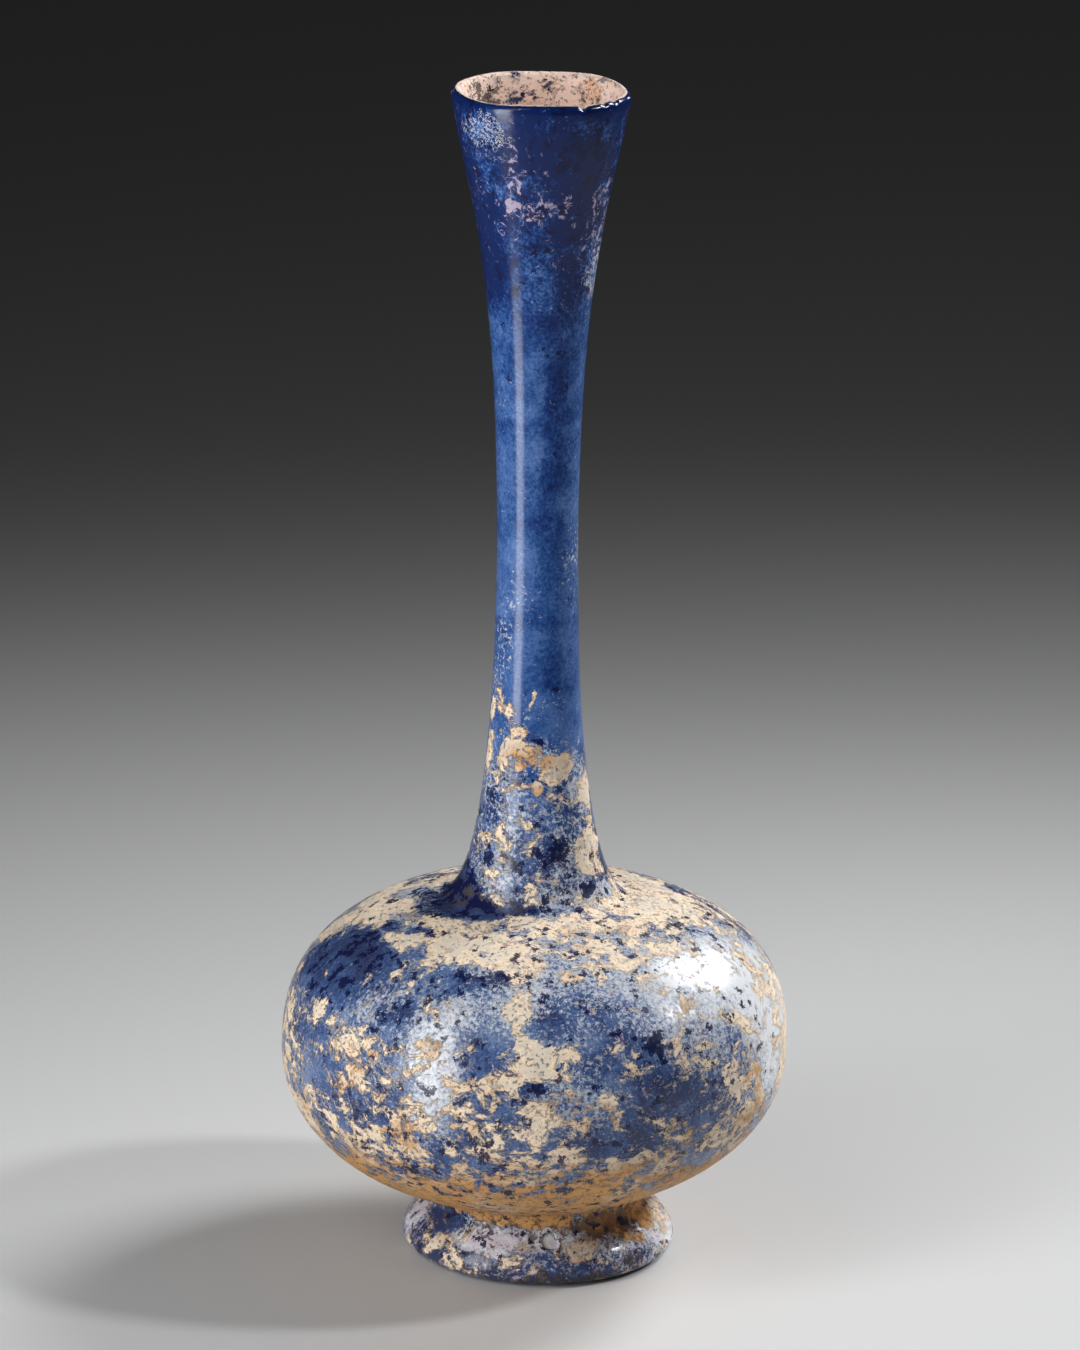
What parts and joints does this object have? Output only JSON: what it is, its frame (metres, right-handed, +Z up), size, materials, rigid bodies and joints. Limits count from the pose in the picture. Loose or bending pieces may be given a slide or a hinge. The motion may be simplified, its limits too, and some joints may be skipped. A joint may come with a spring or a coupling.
{
  "type": "glass sprinkler flask",
  "caption": "Tall-necked sprinkler flask of weathered cobalt glass: squat round body on a splayed hollow foot, long slender neck opening to a plain flaring mouth.",
  "frame": {"origin": "on the surface the flask stands on, under the middle of the body's widest ring", "axes": "+Z up the neck, -Y towards the side seen in the picture, and the neck drifts a little to -X"},
  "size_m": [0.101, 0.101, 0.2379],
  "materials": {
    "weathered_cobalt_glass": "deep cobalt glass under a patchy cream and ochre weathering crust with a dull blue film"
  },
  "bodies": {
    "root": {"flask": "weathered_cobalt_glass"}
  },
  "joints": []
}
